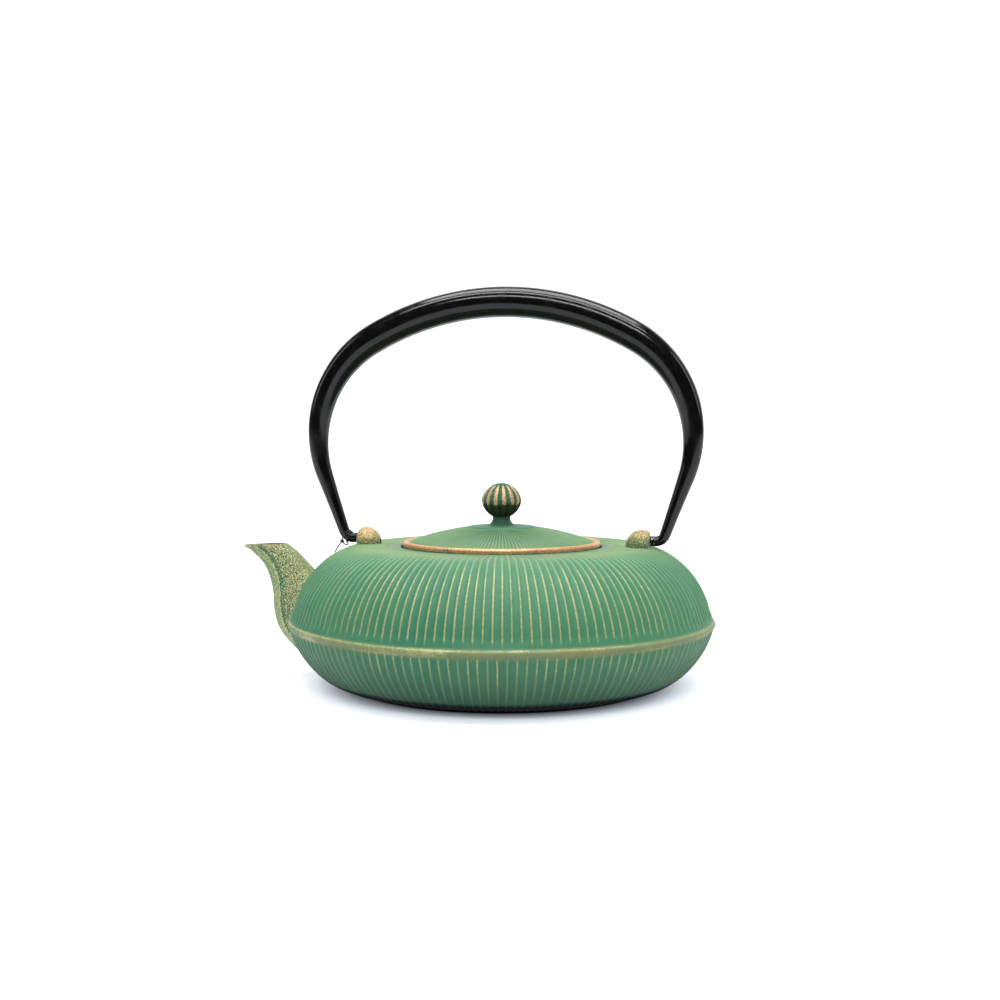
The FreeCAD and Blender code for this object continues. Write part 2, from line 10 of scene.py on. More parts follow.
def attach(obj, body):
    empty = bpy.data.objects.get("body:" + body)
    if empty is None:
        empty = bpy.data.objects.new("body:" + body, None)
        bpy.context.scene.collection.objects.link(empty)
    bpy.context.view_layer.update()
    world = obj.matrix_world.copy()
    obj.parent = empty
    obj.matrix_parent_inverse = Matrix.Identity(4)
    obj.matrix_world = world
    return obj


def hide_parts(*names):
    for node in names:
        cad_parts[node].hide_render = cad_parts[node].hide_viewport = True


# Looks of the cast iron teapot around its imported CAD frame. Lengths are millimetres in the frame's
# axes, which Skin.piece(), Nodes and thread() turn into metres; studio() and names in _M are in metres.

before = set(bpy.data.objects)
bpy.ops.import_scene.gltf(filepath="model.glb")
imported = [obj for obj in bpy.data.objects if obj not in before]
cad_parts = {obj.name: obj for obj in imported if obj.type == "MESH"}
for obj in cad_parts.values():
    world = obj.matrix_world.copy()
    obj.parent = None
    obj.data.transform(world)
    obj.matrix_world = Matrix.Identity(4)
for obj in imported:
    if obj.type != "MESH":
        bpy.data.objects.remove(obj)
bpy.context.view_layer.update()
MM = 0.001

# ---------------------------------------------------------------- sizes shared with the CAD parts

PIVOT_Z = 61.5
LUG_FACE = 63.5
MOUTH_R = 37.6
REBATE_R = 43.2
REBATE_Z = 56.9
DECK_Z = 58.9
BAND_R = 91.3
# Heights of the lower edge, the middle and the upper edge of the raised band round the belly.
BAND_LOW, BAND_MIDDLE, BAND_HIGH = 25.4, 27.0, 28.6
# The hollow inside the pot: its widest radius, the radius of its bends, its floor and its roof.
INSIDE_R = 84.3
INSIDE_BEND = 22.8
INSIDE_FLOOR = 4.4
INSIDE_ROOF = 54.6

# The lugs' length, the radius and the height of their axis, and the bore for the bail's pin.
LUG_LENGTH = 10.2
LUG_R = 6.6
LUG_AXIS = 59.6
LUG_BORE_R = 2.2
LUG_BORE_DEPTH = 5.5

# The lid's dome and the knob's lower and upper half: the radius and the height of the centre.
LID_DOME = (114.65, -46.97)
KNOB_LOW = (8.62, 79.19)
KNOB_HIGH = (8.736, 77.06)
KNOB_RIVET_R = 2.1
KNOB_FOOT_Z = 71.4
KNOB_BORE_Z = 78.7
KNOB_TOP_Z = 85.75

BAIL_TOP = 163.1
BAIL_CROWN_BEND = 112.9
BAIL_SHOULDER_BEND = 49.4
BAIL_CROWN_TURN = math.radians(30.2)
BAIL_LEG_TURN = math.radians(109.5)
BAIL_SHEET = 0.8
BAIL_SEAM = 0.6
PIN_BEND = 3.9
PIN_END_X = 58.5
# The bail's diameter by how far its centreline has turned, in degrees; then by height on the leg.
BAIL_TURN_DIAMETERS = ((0, 13.1), (15, 13.0), (30.2, 12.7), (45, 11.9), (60, 10.9), (75, 10.0), (90, 8.7),
                       (109.5, 7.1))
BAIL_LEG_DIAMETERS = ((80.0, 6.0), (68.0, 4.9), (63.0, 4.6))
BAIL_LEG_TOP = 88.6
# Where the lacquer is chipped at the edge of the bail's outline, as (x, z).
BAIL_CHIPS = ((77.4, 93.6), (72.0, 77.4), (64.5, 62.0))
PIN_DIAMETER = 4.3

# The side that faces the camera, and how the ribs are spread round from there.
FRONT = math.radians(-81.0)
RIB_RELIEF = 0.36
RIBS = 156
LID_RIBS = 160
LID_TURN = math.radians(0.4)
KNOB_RIBS = 14

# The basket's mesh: where its wall begins, its wires round the axis, and its pitch otherwise.
MESH_WALL_R = 35.6
MESH_WIRES_ROUND = 230.0
MESH_PITCH = 1.0

rng = random.Random(7)


# ---------------------------------------------------------------- small tools


def smoothstep(low, high, x):
    t = np.clip((np.asarray(x, float) - low) / (high - low), 0.0, 1.0)
    return t * t * (3 - 2 * t)


def arc_between(start, end, radius, bulge, steps):
    """Points of an arc from start to end, bulging to the left or the right of the way."""
    (x0, y0), (x1, y1) = start, end
    chord = math.hypot(x1 - x0, y1 - y0)
    side = 1 if bulge == "left" else -1
    depth = math.sqrt(radius**2 - chord**2 / 4)
    across = (-(y1 - y0) / chord * side, (x1 - x0) / chord * side)
    cx, cy = (x0 + x1) / 2 - across[0] * depth, (y0 + y1) / 2 - across[1] * depth
    a0 = math.atan2(y0 - cy, x0 - cx)
    turn = math.atan2(y1 - cy, x1 - cx) - a0
    turn = (turn + math.pi) % (2 * math.pi) - math.pi
    return [(cx + radius * math.cos(a0 + turn * k / steps), cy + radius * math.sin(a0 + turn * k / steps))
            for k in range(steps + 1)]


def outline(*pieces):
    """Joins corners and arcs into one list of points without doubles."""
    points = []
    for piece in pieces:
        for point in piece if isinstance(piece, list) else [piece]:
            if not points or math.dist(points[-1], point) > 1e-6:
                points.append(point)
    return np.array(points, float)


def line(start, end, steps):
    return [tuple(np.array(start) + (np.array(end) - np.array(start)) * k / steps) for k in range(steps + 1)]


def outward(points):
    """Unit normals of an outline, to the right of the way along it."""
    way = np.gradient(points, axis=0)
    normals = np.column_stack([way[:, 1], -way[:, 0]])
    return normals / np.linalg.norm(normals, axis=1)[:, None]


def noise_field(points, scale, seed=0.0):
    """Smooth noise from -1 to 1 at each point; scale is its wavelength in millimetres."""
    shift = Vector((seed, seed * 1.7, -seed))
    flat = np.asarray(points, float).reshape(-1, 3)
    values = [noise.noise(Vector(point) / scale + shift) for point in flat]
    return np.array(values).reshape(np.asarray(points).shape[:-1])


class Skin:
    """A closed surface gathered ring by ring, with float fields stored on its points."""

    SHARP = math.radians(55.0)

    def __init__(self, *fields):
        self.points, self.faces, self.slots = [], [], []
        self.fields = {field: [] for field in fields}
        self.rings = []

    def ring(self, points, slot=0, **fields):
        """Adds a ring, or a pole of one point, and joins it to the ring before it."""
        points = np.asarray(points, float).reshape(-1, 3)
        first = sum(count for _, count in self.rings)
        self.points.append(points)
        for field, values in self.fields.items():
            values.append(np.broadcast_to(fields.get(field, 0.0), len(points)))
        if self.rings:
            self.join(self.rings[-1], (first, len(points)), slot)
        self.rings.append((first, len(points)))

    def close(self, slot=0):
        """Joins the last ring to the first, as round a bore."""
        self.join(self.rings[-1], self.rings[0], slot)

    def join(self, before, after, slot):
        """Spans two rings; one may be a pole, or have a whole multiple of the other's points."""
        (a, n), (b, m) = before, after
        few, many = min(n, m), max(n, m)
        faces = []
        for k in range(few if few > 1 else many):
            if n == 1:
                faces.append((a, b + (k + 1) % m, b + k))
            elif m == 1:
                faces.append((a + k, a + (k + 1) % n, b))
            else:
                below, above = n // few, m // few
                faces.append([a + (k * below + j) % n for j in range(below + 1)]
                             + [b + (k * above + j) % m for j in range(above, -1, -1)])
        self.faces += faces
        self.slots += [slot] * len(faces)

    def piece(self, name, materials, body):
        """Turns the gathered rings into an object that rides on the body."""
        points = np.concatenate(self.points)
        mesh = bpy.data.meshes.new(name)
        mesh.from_pydata((points * MM).tolist(), [], self.faces)
        mesh.polygons.foreach_set("material_index", self.slots)
        for field, values in self.fields.items():
            layer = mesh.attributes.new(field, "FLOAT", "POINT")
            layer.data.foreach_set("value", np.concatenate(values).astype(np.float32))
        work = bmesh.new()
        work.from_mesh(mesh)
        bmesh.ops.recalc_face_normals(work, faces=work.faces)
        work.to_mesh(mesh)
        work.free()
        mesh.shade_smooth()
        mesh.set_sharp_from_angle(angle=self.SHARP)
        for material in materials:
            mesh.materials.append(material)
        piece = bpy.data.objects.new(name, mesh)
        bpy.context.scene.collection.objects.link(piece)
        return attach(piece, body)


def turned_ring(radius, height, angles):
    """A ring of points about the pot's axis; radius and height may differ round it."""
    heights = np.broadcast_to(height, angles.shape)
    return np.stack([radius * np.cos(angles), radius * np.sin(angles), heights], axis=-1)


def even(count):
    """Angles that share a full turn evenly."""
    return np.arange(count) * 2 * math.pi / count


# ---------------------------------------------------------------- materials


class Nodes:
    """Shorthand for building one material's node tree."""

    def __init__(self, name):
        self.material = bpy.data.materials.new(name)
        self.material.use_nodes = True
        self.tree = self.material.node_tree
        self.shader = self.tree.nodes["Principled BSDF"]

    def add(self, kind, **inputs):
        node = self.tree.nodes.new(kind)
        for key, value in inputs.items():
            if key in node.inputs:
                self.set(node.inputs[key], value)
            else:
                setattr(node, key, value)
        return node

    def set(self, socket, value):
        if isinstance(value, bpy.types.NodeSocket):
            self.tree.links.new(value, socket)
        else:
            socket.default_value = value

    def shade(self, **inputs):
        for key, value in inputs.items():
            self.set(self.shader.inputs[key.replace("_", " ")], value)

    def place(self):
        return self.add("ShaderNodeTexCoord").outputs["Object"]

    def field(self, name):
        node = self.add("ShaderNodeAttribute")
        node.attribute_name = name
        return node.outputs["Fac"]

    def noise(self, wavelength, detail=2.0, roughness=0.5, place=None):
        """Noise from about 0.2 to 0.8, by its wavelength in millimetres."""
        node = self.add("ShaderNodeTexNoise", Scale=1 / (wavelength * MM), Detail=detail, Roughness=roughness)
        self.set(node.inputs["Vector"], place or self.place())
        return node.outputs["Fac"]

    def math(self, operation, a, b=0.0, clamp=False):
        node = self.add("ShaderNodeMath", operation=operation, use_clamp=clamp)
        self.set(node.inputs[0], a)
        self.set(node.inputs[1], b)
        return node.outputs[0]

    def ramp(self, value, low, high, start=0.0, end=1.0):
        node = self.add("ShaderNodeMapRange", interpolation_type="SMOOTHSTEP")
        for key, setting in (("Value", value), ("From Min", low), ("From Max", high),
                             ("To Min", start), ("To Max", end)):
            self.set(node.inputs[key], setting)
        return node.outputs["Result"]

    def mix(self, share, a, b):
        node = self.add("ShaderNodeMix", data_type="RGBA")
        self.set(node.inputs["Factor"], share)
        self.set(node.inputs["A"], a if isinstance(a, bpy.types.NodeSocket) else (*a, 1.0))
        self.set(node.inputs["B"], b if isinstance(b, bpy.types.NodeSocket) else (*b, 1.0))
        return node.outputs["Result"]

    def bump(self, height, depth_mm, strength=1.0):
        node = self.add("ShaderNodeBump", Strength=strength, Distance=depth_mm * MM)
        self.set(node.inputs["Height"], height)
        return node.outputs["Normal"]


def srgb(red, green, blue):
    """Linear colour from the usual 0 to 255 screen values."""
    return tuple(c / 12.92 if c <= 0.04045 else ((c + 0.055) / 1.055) ** 2.4
                 for c in (red / 255, green / 255, blue / 255))


DEEP_GREEN = srgb(34, 89, 64)
GREEN = srgb(46, 95, 66)
CREST_HIGHLIGHT_GREEN = srgb(98, 126, 86)
FADED_SHEEN_GREEN = srgb(90, 121, 86)
OLIVE = srgb(104, 104, 66)
GOLD = srgb(132, 136, 93)
BRONZE = srgb(192, 148, 102)


def worn_paint(name, gold=GOLD, speckle=0.10, grain=0.9, metal=0.25, depth=0.09, dark=(0.006, 0.006, 0.006)):
    """Matt green paint on sand-cast iron with gold rubbed over what stands proud.

    The mesh's gold field says how much gold is left, and on the pot's ribs a painted reflection too; crest
    how proud the spot is, which pales the green as a painted highlight; haze how washed-out the green is,
    with painted sheen; olive how much old gold dulls it; and foot how far it turns to the dark colour: black
    paint with painted shade low on the pot, brown paint low on the knob, and painted shade in grooves and
    recesses.
    """
    n = Nodes(name)
    place = n.place()
    fine, middle, broad = (n.noise(w, 3.0, place=place) for w in (grain, 9.0, 60.0))
    green = n.mix(n.ramp(n.math("ADD", middle, n.math("MULTIPLY", broad, 2.0)), 1.1, 1.9), DEEP_GREEN, GREEN)
    washed_and_sheen_share = n.math("MULTIPLY", n.field("haze"), n.ramp(middle, 0.3, 0.7, 0.8, 1.0))
    # Paler green, where washed-out paint and painted sheen lighten it.
    green = n.mix(washed_and_sheen_share, green, FADED_SHEEN_GREEN)
    green = n.mix(n.math("MULTIPLY", n.field("olive"), n.ramp(middle, 0.3, 0.6, 0.75, 1.0)), green, OLIVE)
    # Painted highlight: the proud crests turn paler green.
    green = n.mix(n.math("MULTIPLY", n.field("crest"), 0.55, clamp=True), green, CREST_HIGHLIGHT_GREEN)
    # Darker towards the dark colour: black paint with painted shade low on the pot, brown paint low on the
    # knob, painted shade in grooves and recesses.
    green = n.mix(n.field("foot"), green, dark)
    gold_wear_and_reflection = n.math("ADD", n.field("gold"), n.math("MULTIPLY", n.math("SUBTRACT", fine, 0.5), speckle * 4))
    gold_wear_and_reflection = n.math("ADD", gold_wear_and_reflection, n.math("MULTIPLY", n.math("SUBTRACT", middle, 0.5), 0.35))
    gilt = n.ramp(gold_wear_and_reflection, 0.38, 0.62)
    gilt_tone = n.mix(n.ramp(fine, 0.35, 0.65), tuple(c * 0.74 for c in gold), gold)
    grit = n.noise(0.5, 2.0, place=place)
    n.shade(Base_Color=n.mix(gilt, green, gilt_tone),
            Metallic=n.math("MULTIPLY", gilt, metal),
            Roughness=n.ramp(gilt, 0.0, 1.0, 0.55, 0.42),
            Specular_IOR_Level=n.ramp(n.field("foot"), 0.2, 1.0, 0.28, 0.03),
            Normal=n.bump(n.math("ADD", grit, n.math("MULTIPLY", fine, 0.5)), depth))
    return n.material


def lacquer():
    """Glossy black lacquer with a slight ripple, and small chips where the chip field allows."""
    n = Nodes("black_lacquer")
    place = n.place()
    ripple = n.noise(6.0, 2.0, place=place)
    spots = n.math("ADD", n.noise(0.8, 1.0, place=place), n.math("MULTIPLY", n.field("chip"), 0.2))
    chip = n.ramp(spots, 0.84, 0.87)
    dents = n.math("ADD", ripple, n.math("MULTIPLY", n.noise(1.6, 1.0, place=place), 0.3))
    black = n.mix(ripple, (0.0016, 0.0016, 0.0018), (0.0032, 0.0032, 0.0035))
    n.shade(Base_Color=n.mix(chip, black, (0.42, 0.41, 0.40)),
            Roughness=n.ramp(n.math("ADD", ripple, chip), 0.3, 1.3, 0.11, 0.5),
            Specular_IOR_Level=0.28,
            Normal=n.bump(dents, 0.04))
    return n.material


def enamel():
    """Dark grey enamel that lines the pot."""
    n = Nodes("grey_enamel")
    place = n.place()
    tone = n.mix(n.noise(3.0, 3.0, place=place), (0.018, 0.019, 0.020), (0.034, 0.035, 0.036))
    n.shade(Base_Color=tone, Roughness=n.ramp(n.noise(9.0, place=place), 0.2, 0.8, 0.24, 0.4),
            Normal=n.bump(n.noise(1.2, 2.0, place=place), 0.06))
    return n.material


def bare_iron():
    """Dark unpainted casting, under the base and in the bores."""
    n = Nodes("bare_iron")
    place = n.place()
    tone = n.mix(n.noise(1.1, 4.0, place=place), (0.012, 0.012, 0.012), (0.035, 0.032, 0.030))
    n.shade(Base_Color=tone, Metallic=0.3, Roughness=n.ramp(n.noise(4.0, place=place), 0.2, 0.8, 0.5, 0.72),
            Normal=n.bump(n.noise(0.6, 3.0, place=place), 0.15))
    return n.material


def steel(name, wavelength):
    """Drawn stainless steel with fine lines round the axis."""
    n = Nodes(name)
    place = n.place()
    stretched = n.add("ShaderNodeMapping")
    n.set(stretched.inputs["Vector"], place)
    stretched.inputs["Scale"].default_value = (0.15, 0.15, 1.0)
    lines = n.noise(wavelength, 3.0, place=stretched.outputs["Vector"])
    n.shade(Base_Color=n.mix(lines, (0.30, 0.30, 0.29), (0.44, 0.44, 0.43)), Metallic=0.9,
            Roughness=n.ramp(lines, 0.2, 0.8, 0.32, 0.5), Normal=n.bump(lines, 0.02))
    return n.material


def woven_mesh():
    """Fine stainless mesh: wires round and up the wall, or crossing on the floor, over dark gaps."""
    n = Nodes("steel_mesh")
    part = n.add("ShaderNodeSeparateXYZ")
    n.set(part.inputs["Vector"], n.place())
    around = n.math("ARCTAN2", part.outputs["Y"], part.outputs["X"])
    squares = [n.math("POWER", part.outputs[axis], 2.0) for axis in "XY"]
    on_wall = n.math("GREATER_THAN", n.math("SQRT", n.math("ADD", *squares)), MESH_WALL_R * MM)
    on_floor = n.math("SUBTRACT", 1.0, on_wall)
    per_metre = 2 * math.pi / (MESH_PITCH * MM)
    along_x, along_y, up = (n.math("SINE", n.math("MULTIPLY", part.outputs[axis], per_metre))
                            for axis in "XYZ")
    upright = n.math("SINE", n.math("MULTIPLY", around, MESH_WIRES_ROUND))
    first = n.math("ADD", n.math("MULTIPLY", on_wall, upright), n.math("MULTIPLY", on_floor, along_x))
    second = n.math("ADD", n.math("MULTIPLY", on_wall, up), n.math("MULTIPLY", on_floor, along_y))
    wire = n.ramp(n.math("MAXIMUM", first, second), 0.1, 0.6)
    n.shade(Base_Color=n.mix(wire, (0.02, 0.02, 0.02), (0.34, 0.34, 0.33)), Metallic=0.85,
            Roughness=n.ramp(wire, 0.0, 1.0, 0.6, 0.36), Normal=n.bump(wire, 0.15))
    return n.material


def thread_fibre():
    """Matt black sewing thread."""
    n = Nodes("black_thread")
    place = n.place()
    twist = n.noise(0.18, 2.0, place=place)
    n.shade(Base_Color=n.mix(twist, (0.004, 0.004, 0.004), (0.016, 0.016, 0.016)),
            Roughness=n.ramp(twist, 0.2, 0.8, 0.6, 0.85), Normal=n.bump(twist, 0.05))
    return n.material


def white_floor_painted_shadow():
    """A white floor that glows away from the pot; close to the pot the glow fades out, which paints a
    blue-tinted shadow under and round it.
    """
    n = Nodes("white_floor_painted_shadow")
    tone = n.mix(n.noise(300.0), (0.49, 0.49, 0.49), (0.51, 0.51, 0.51))
    away = n.add("ShaderNodeVectorMath", operation="LENGTH")
    n.set(away.inputs[0], n.place())
    # Painted shadow: no glow within 60 mm of the pot's axis, full glow beyond 82 mm, tinted blue.
    n.shade(Base_Color=tone, Roughness=0.9, Specular_IOR_Level=0.1, Emission_Color=(0.46, 0.50, 0.56, 1.0),
            Emission_Strength=n.ramp(away.outputs["Value"], 0.060, 0.082, 0.0, 1.0))
    return n.material


# ---------------------------------------------------------------- the pot


def belly_outline():
    """The painted outside from the outer edge of the base ring up to the flat deck, as (radius, height)."""
    return outline(
        (65.0, 1.2),
        arc_between((66.0, 1.3), (80.65, 8.64), 23.8, "right", 11),
        arc_between((80.65, 8.64), (90.3, 25.7), 36.8, "right", 14),
        arc_between((90.3, 25.7), (90.3, 28.5), 1.46, "right", 9),
        line((90.3, 28.5), (88.6, 32.5), 5),
        arc_between((88.6, 32.5), (76.4, 52.25), 36.4, "right", 17),
        arc_between((76.4, 52.25), (68.1, 57.3), 34.2, "right", 7),
        arc_between((68.1, 57.3), (60.7, DECK_Z), 18.8, "right", 7),
        line((60.7, DECK_Z), (48.5, DECK_Z), 7),
    )


# Columns of points for one rib: how far from its middle, and how proud. The first lies half way
# to the rib before it.
RIB_OFFSETS = np.array([-1.81, -0.55, -0.28, 0.0, 0.28, 0.55])
RIB_SHAPE = np.array([0.0, 0.0, 0.72, 1.0, 0.72, 0.0])


def pot():
    """The ribbed casting with its band, base ring, rebate and enamelled inside, as one closed skin."""
    per_pitch = len(RIB_OFFSETS)
    columns = RIBS * per_pitch
    rib = np.repeat(np.arange(RIBS), per_pitch)
    offset = np.tile(RIB_OFFSETS, RIBS)
    halfway = offset == RIB_OFFSETS[0]
    shape = np.tile(RIB_SHAPE, RIBS)
    pitch = 2 * math.pi / RIBS
    centre = FRONT + math.radians(0.2) + rib * pitch
    # Six random numbers for each rib, of which the first four are used.
    per_rib = np.array([[rng.uniform(-1, 1) for _ in range(6)] for _ in range(RIBS)])[rib]
    # Plain rings start half way between two ribs, and the ribs below the band lie between those above.
    plain_top = centre[::per_pitch] - pitch / 2
    plain_foot = centre[::per_pitch]
    rows = belly_outline()
    normals = outward(rows)

    skin = Skin("gold", "crest", "haze", "olive", "foot")
    skin.ring((0, 0, 0), 2, foot=1)
    for radius, height in ((14, 0), (14, 0.8), (61.5, 0.8), (61.5, 0), (64.6, 0), (65, 0.35)):
        skin.ring(turned_ring(radius, height, plain_foot), 2, foot=1)

    for (radius, height), normal in zip(rows, normals):
        lower = float(1 - smoothstep(BAND_LOW, 28.8, height))
        band = float(smoothstep(24.4, 25.9, height) * (1 - smoothstep(28.2, 29.3, height)))
        slip = 0.07 * per_rib[:, 0] + 0.10 * noise_field(
            np.column_stack([rib * 7.3, np.full(columns, height + radius), np.zeros(columns)]), 9.0, 3.0)
        across = np.where(halfway, -pitch / 2, (offset + slip) / radius)
        angles = centre + 0.5 * pitch * lower + across
        where = turned_ring(radius, height, angles)

        top_end = 30.6 + 0.9 * per_rib[:, 1]
        to_rim = float(smoothstep(48.8, 50.5, radius)) if height > 58 else 1.0
        upper_ribs = smoothstep(-0.9, 0.6, height - top_end) * to_rim
        lower_ribs = (1 - smoothstep(24.6, 25.6, height)) * smoothstep(66.0, 70.0, radius)
        fade = np.where(height > BAND_MIDDLE, upper_ribs, lower_ribs)
        worn = 0.85 + 0.25 * noise_field(where, 6.0, 1.0)
        relief = RIB_RELIEF * shape * fade * worn - 0.10 * (1 - band)
        cast = 0.05 * noise_field(where, 3.5, 5.0) + 0.05 * noise_field(where, 1.4, 9.0)
        ragged = -band * (0.10 * (1 + noise_field(where, 5.0, 2.0)) + 0.04 * noise_field(where, 1.6, 8.0))
        push = relief + cast + ragged
        shift = band * 0.35 * noise_field(turned_ring(radius, 0, angles), 45.0, 4.0)
        points = turned_ring(radius + push * normal[0], height + push * normal[1] + shift, angles)
        reach = np.hypot(points[:, 0], points[:, 1])
        points[:, :2] *= np.minimum(1.0, BAND_R / reach)[:, None]

        # Gold stands on the crests of the ribs, brightest half way up; above it they turn pale green, a
        # painted highlight on the crests.
        if height > BAND_MIDDLE:
            amount = float(smoothstep(30.2, 32.0, height)) * float(1 - 0.62 * smoothstep(51.0, 58.5, height))
            gold = shape * fade * (0.78 * amount + 0.2 * per_rib[:, 2] + 0.1 * noise_field(where, 14.0, 2.0))
            crest = shape * fade * (1 + 0.7 * float(smoothstep(50.0, 57.0, height)))
        else:
            amount = 0.14 + 0.47 * float(smoothstep(9.0, 22.0, height))
            gold = shape * fade * (amount + 0.09 * per_rib[:, 3] + 0.12 * noise_field(where, 12.0, 3.0))
            crest = 1.15 * shape * fade * float(smoothstep(6.0, 10.0, height))
        # Painted reflection: the gold on the ribs fades towards the sides as the camera sees them, and the
        # olive on the deck grows there.
        sideways = np.abs(np.sin(angles - FRONT))
        gold = gold * (1 - 0.5 * sideways**3)
        edges = math.exp(-((height - BAND_HIGH) / 0.45) ** 2)
        edges += 0.8 * math.exp(-((height - BAND_LOW) / 0.4) ** 2)
        streaks = 0.30 * noise_field(where * np.array([0.35, 0.35, 1.6]), 8.0, 6.0)
        gold = np.maximum(gold, band * (0.36 + 0.22 * edges + streaks))
        # The band's edges also pale, a painted highlight.
        crest = np.maximum(crest, 0.3 * band * min(edges, 1.0))
        # The deck pales towards its top: painted sheen on washed-out paint.
        haze = 0.2 * float(smoothstep(54.0, DECK_Z, height))
        on_deck = 0.6 * float(smoothstep(58.2, DECK_Z, height)) * (0.25 + 0.75 * sideways)
        olive = band * (0.75 + 0.3 * noise_field(where, 26.0, 11.0)) + on_deck
        # The underside turns black, partly black paint and partly painted shade, and painted shade darkens
        # the belly from the band down.
        dark = float(1 - smoothstep(3.6, 6.8, height)) + 0.40 * float(1 - smoothstep(4.0, 27.0, height))
        skin.ring(points, 0, gold=gold, crest=crest, haze=haze, olive=np.clip(olive, 0, 1),
                  foot=min(dark, 1.0))

    for radius, height, slot in ((REBATE_R + 0.5, DECK_Z, 0), (REBATE_R, DECK_Z - 0.25, 0),
                                 (REBATE_R, REBATE_Z, 1), (MOUTH_R, REBATE_Z, 1), (MOUTH_R, INSIDE_ROOF, 1)):
        skin.ring(turned_ring(radius, height, plain_top), slot, haze=0.2, olive=0.2)
    bend_r, low, high = INSIDE_R - INSIDE_BEND, INSIDE_FLOOR + INSIDE_BEND, INSIDE_ROOF - INSIDE_BEND
    inside = outline(line((MOUTH_R, INSIDE_ROOF), (bend_r, INSIDE_ROOF), 4),
                     arc_between((bend_r, INSIDE_ROOF), (INSIDE_R, high), INSIDE_BEND, "right", 12),
                     arc_between((INSIDE_R, low), (bend_r, INSIDE_FLOOR), INSIDE_BEND, "right", 12),
                     line((bend_r, INSIDE_FLOOR), (10, INSIDE_FLOOR), 5))
    for radius, height in inside[1:]:
        skin.ring(turned_ring(radius, height, plain_top), 1)
    skin.ring((0, 0, INSIDE_FLOOR), 1)
    piece = skin.piece("pot_shell", [pot_paint, grey_enamel, foot_iron], "pot")
    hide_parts("pot_casting")


# The spout's sections along its way: back (radius, height), front (radius, height), half width of
# the front nose and of the bulging side, and how far back the moulded ridge lies. The channel's
# sections, inside, are alike but share one ridge.
SPOUT = (
    (70.0, 34.0, 91.4, 11.6, 3.0, 10.0, 0.12),
    (76.0, 40.0, 98.7, 19.5, 2.6, 8.5, 0.14),
    (80.5, 44.0, 101.8, 27.8, 2.2, 7.1, 0.19),
    (86.0, 49.5, 102.9, 39.5, 1.9, 5.6, 0.25),
    (91.0, 54.6, 106.8, 49.6, 1.7, 4.8, 0.27),
    (96.0, 58.4, 116.0, 57.8, 1.2, 4.4, 0.32),
)
CHANNEL = (
    (88.4, 48.6, 100.2, 41.6, 1.2, 3.9),
    (93.4, 53.6, 104.2, 50.4, 1.0, 3.5),
    (97.0, 58.35, 114.2, 57.95, 0.8, 3.8),
)
CHANNEL_RIDGE = 0.25
SPOUT_STEPS = 48


def between(table, at):
    """A row of a table of sections at a fractional place, smooth through the rows."""
    rows = np.array(table)
    last = len(rows) - 1
    low = min(int(at), last - 1)
    t = at - low
    p0, p1 = rows[max(low - 1, 0)], rows[low]
    p2, p3 = rows[low + 1], rows[min(low + 2, last)]
    return 0.5 * (2 * p1 + (p2 - p0) * t + (2 * p0 - 5 * p1 + 4 * p2 - p3) * t**2
                  + (3 * p1 - p0 - 3 * p2 + p3) * t**3)


def spout_shares(ridge):
    """Places from the front (0) to the back (1) of a section, crowded at the moulded ridge."""
    front = np.concatenate([[0, 0.004, 0.012, 0.025, 0.04], np.linspace(0.06, ridge - 0.035, 6)])
    moulding = ridge + np.array([-0.022, -0.01, 0.0, 0.01, 0.024, 0.04, 0.06, 0.085, 0.105])
    back = np.linspace(ridge + 0.13, 0.96, SPOUT_STEPS - 23)
    return np.concatenate([front, moulding, back, [0.985, 0.996, 1.0]])


def spout_half(front_half, bulge, ridge, shares):
    """Half width at each share: a narrow nose, a flat facet, the swelling side, a rounded back."""
    at_ridge = 0.62 * bulge + 0.38 * front_half
    facet = front_half + (at_ridge - front_half) * np.clip(shares / ridge, 0, 1)
    nose = np.sqrt(np.clip(shares / 0.03, 0, 1) * (2 - np.clip(shares / 0.03, 0, 1)))
    side = facet + (bulge - at_ridge) * np.sin(np.clip((shares - ridge) / (0.55 - ridge), 0, 1) * math.pi / 2)
    back = np.clip((shares - 0.55) / 0.45, 0, 1)
    return side * nose * (1 - back**2.6) ** 0.5


def spout_ring(ends, shares, half):
    """A closed ring across the spout, from the front down the near side and back up the far side."""
    back_r, back_z, front_r, front_z = ends
    r = front_r + (back_r - front_r) * shares
    z = front_z + (back_z - front_z) * shares
    near, far = np.column_stack([-r, -half, z]), np.column_stack([-r, half, z])
    return np.concatenate([near, far[1:-1][::-1]])


